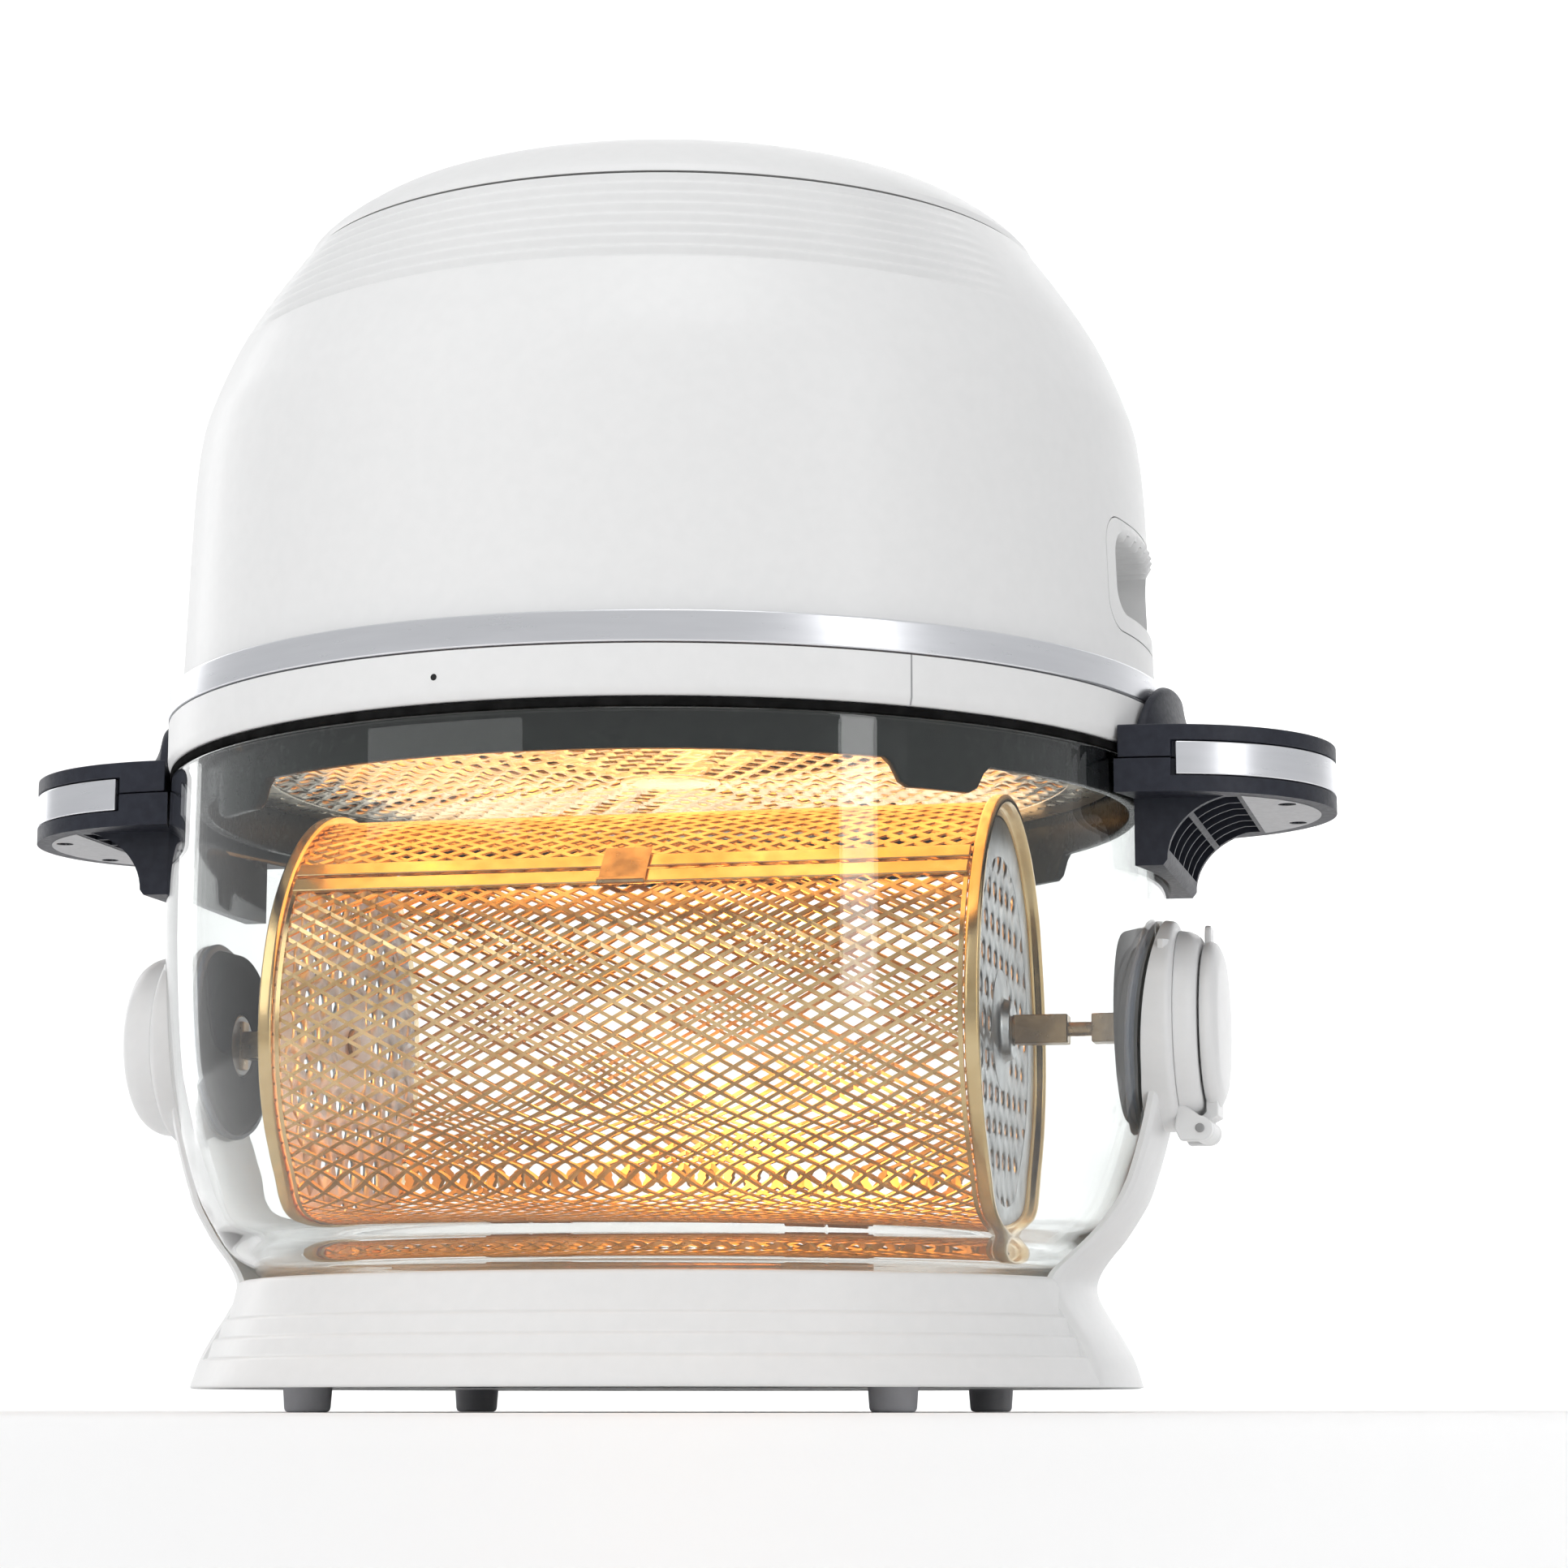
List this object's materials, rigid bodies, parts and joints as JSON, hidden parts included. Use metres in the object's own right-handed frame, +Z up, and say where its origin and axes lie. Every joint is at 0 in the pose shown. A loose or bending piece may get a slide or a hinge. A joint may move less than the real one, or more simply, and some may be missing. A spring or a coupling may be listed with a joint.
{
  "type": "rotisserie oven",
  "caption": "Countertop rotisserie oven: a fan-heated head on a round glass bowl in a flared base, with a mesh basket that turns between side hubs, and two side handles.",
  "frame": {"origin": "on the floor, under the centre of the feet and of the bowl", "axes": "+X to the hub with the flap, along the basket's axle; -Y to the front, where the basket's door and latch are; +Z up"},
  "size_m": [0.394, 0.2966, 0.3712],
  "materials": {
    "white_plastic": "satin",
    "black_plastic": "satin",
    "silver_trim": "satin",
    "rubber_seal": "matte",
    "foot_rubber": "matte",
    "steel": "bright",
    "dark_steel": "brushed",
    "glass": "clear",
    "heater": "glowing when hot",
    "circuit_board": "matte",
    "panel_black": "gloss"
  },
  "bodies": {
    "stand": {"base_ring": "white_plastic", "base_plate": "white_plastic", "rest_pad": "rubber_seal", "foot_front_left": "foot_rubber", "foot_front_right": "foot_rubber", "foot_rear_left": "foot_rubber", "foot_rear_right": "foot_rubber", "arm_right": "white_plastic", "arm_left": "white_plastic", "hub_cover_right": "white_plastic", "flap_pin": "dark_steel", "hub_cover_left": "white_plastic", "spit_motor": "dark_steel", "seal_right": "rubber_seal", "seal_left": "rubber_seal", "glass_bowl": "glass", "handle_right_top": "black_plastic", "handle_right_bottom": "black_plastic", "handle_right_trim": "silver_trim", "handle_right_screw_front": "dark_steel", "handle_right_screw_rear": "dark_steel", "handle_left_top": "black_plastic", "handle_left_bottom": "black_plastic", "handle_left_trim": "silver_trim", "handle_left_screw_front": "dark_steel", "handle_left_screw_rear": "dark_steel"},
    "basket": {"basket_shell": "steel", "basket_cap_right": "dark_steel", "basket_cap_left": "dark_steel", "axle_right": "dark_steel", "axle_left": "dark_steel", "axle_bush": "rubber_seal", "basket_seam_bar": "dark_steel", "hinge_rod": "dark_steel"},
    "coupler": {"drive_coupler": "dark_steel"},
    "door": {"basket_door": "steel", "door_bar": "dark_steel"},
    "latch": {"door_latch": "dark_steel"},
    "fans": {"fan_blade": "dark_steel", "cooling_fan": "dark_steel"},
    "flap": {"hub_flap": "white_plastic"},
    "head": {"rim_gasket": "rubber_seal", "lower_ring": "white_plastic", "trim_band": "silver_trim", "dome_shell": "white_plastic", "top_cap": "white_plastic", "control_panel": "panel_black", "grip_insert_right": "white_plastic", "grip_insert_left": "white_plastic", "rear_vent": "white_plastic", "cord_inlet": "black_plastic", "inner_skirt": "black_plastic", "heater_guard": "steel", "heater_coil": "heater", "heat_reflector": "steel", "motor_bracket": "dark_steel", "fan_motor": "dark_steel", "control_board": "circuit_board"}
  },
  "joints": [
    {"name": "head_lift", "type": "slide", "parent": "stand", "child": "head", "axis": [0, 0, 1], "range_m": [0, 0.2]},
    {"name": "fan_turn", "type": "hinge", "parent": "head", "child": "fans", "pos_m": [0, 0, 0.214], "axis": [0, 0, 1], "continuous": true},
    {"name": "basket_turn", "type": "hinge", "parent": "stand", "child": "basket", "pos_m": [0, 0, 0.1093], "axis": [1, 0, 0], "continuous": true},
    {"name": "coupler_turn", "type": "hinge", "parent": "stand", "child": "coupler", "pos_m": [-0.139, 0, 0.1093], "axis": [1, 0, 0], "continuous": true},
    {"name": "basket_door_hinge", "type": "hinge", "parent": "basket", "child": "door", "pos_m": [0, 0.0117, 0.04292], "axis": [1, 0, 0], "range_deg": [0, 14]},
    {"name": "door_latch_hinge", "type": "hinge", "parent": "door", "child": "latch", "pos_m": [0, -0.05723, 0.1482], "axis": [1, 0, 0], "range_deg": [0, 100]},
    {"name": "flap_hinge", "type": "hinge", "parent": "stand", "child": "flap", "pos_m": [0.1576, 0, 0.0792], "axis": [0, 1, 0], "range_deg": [0, 105]}
  ],
  "couplings": [
    {"joint": "coupler_turn", "follows": "basket_turn", "ratio": 1}
  ]
}
